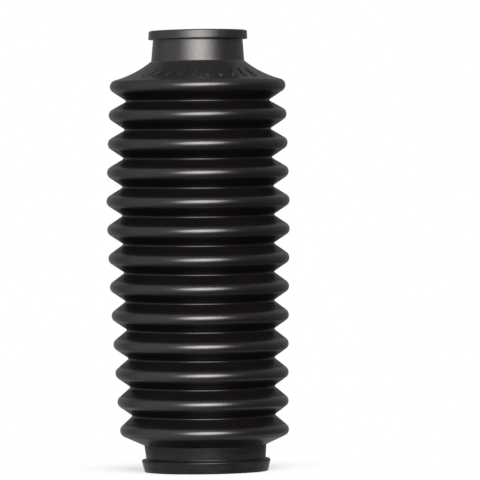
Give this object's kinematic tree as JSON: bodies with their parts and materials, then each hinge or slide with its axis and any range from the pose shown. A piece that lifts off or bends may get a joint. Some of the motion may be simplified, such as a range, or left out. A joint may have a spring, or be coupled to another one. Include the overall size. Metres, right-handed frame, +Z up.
{
  "type": "fork gaiter",
  "caption": "Moulded rubber bellows that slides over a motorbike's fork leg, with lipped collars at both ends, a flared cone under the top one and barrel-shaped folds.",
  "frame": {"origin": "centre of the bottom collar's rim, in its bottom face", "axes": "+Z up along the line through both collars, from the wide bottom collar to the narrow top one; -Y towards the raised bars on the cone"},
  "size_m": [0.0856, 0.0856, 0.2071],
  "materials": {
    "moulded_rubber": "satin"
  },
  "bodies": {
    "root": {"gaiter": "moulded_rubber"}
  },
  "joints": []
}
